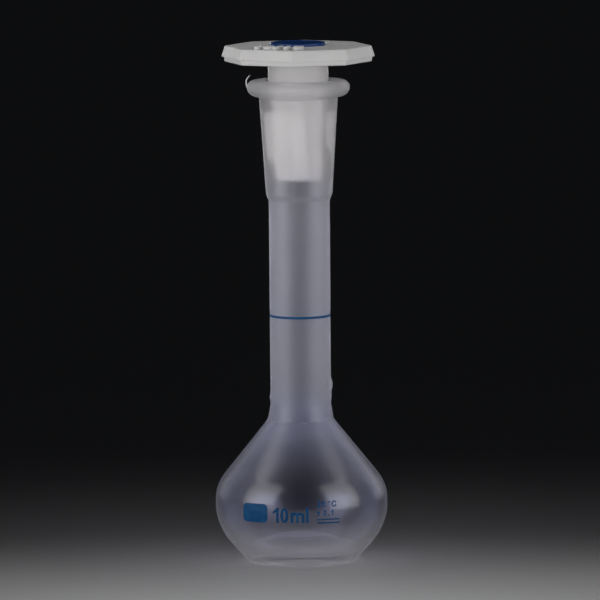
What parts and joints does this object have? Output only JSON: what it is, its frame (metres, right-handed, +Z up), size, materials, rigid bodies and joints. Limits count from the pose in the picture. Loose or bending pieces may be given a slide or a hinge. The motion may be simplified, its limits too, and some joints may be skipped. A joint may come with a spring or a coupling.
{
  "type": "volumetric flask",
  "caption": "Small translucent plastic volumetric flask with a pear-shaped bulb, long neck, graduation ring and an octagonal stopper that lifts out of a tapered socket.",
  "frame": {"origin": "centre of the foot ring, on the bench", "axes": "+Z up along the axis of bulb, neck and socket; the print faces -Y"},
  "size_m": [0.031, 0.0311, 0.0939],
  "materials": {
    "flask_plastic": "milky translucent polypropylene with a satin moulded surface",
    "stopper_plastic": "white polypropylene, nearly opaque, satin",
    "blue_plastic": "deep blue polypropylene, smooth",
    "blue_ink": "blue screen-printed ink"
  },
  "bodies": {
    "flask": {"flask_body": "flask_plastic", "graduation_ring": "blue_ink", "capacity_figures": "blue_ink", "reference_print": "blue_ink", "marking_field": "blue_ink"},
    "colour_disc": {"colour_disc": "blue_plastic"},
    "stopper": {"stopper": "stopper_plastic"}
  },
  "joints": [
    {"name": "stopper_lift", "type": "slide", "parent": "flask", "child": "colour_disc", "axis": [0, 0, 1], "range_m": [0, 0.03]},
    {"name": "stopper_twist", "type": "hinge", "parent": "colour_disc", "child": "stopper", "pos_m": [0, 0, 0.0925], "axis": [0, 0, 1], "continuous": true}
  ]
}
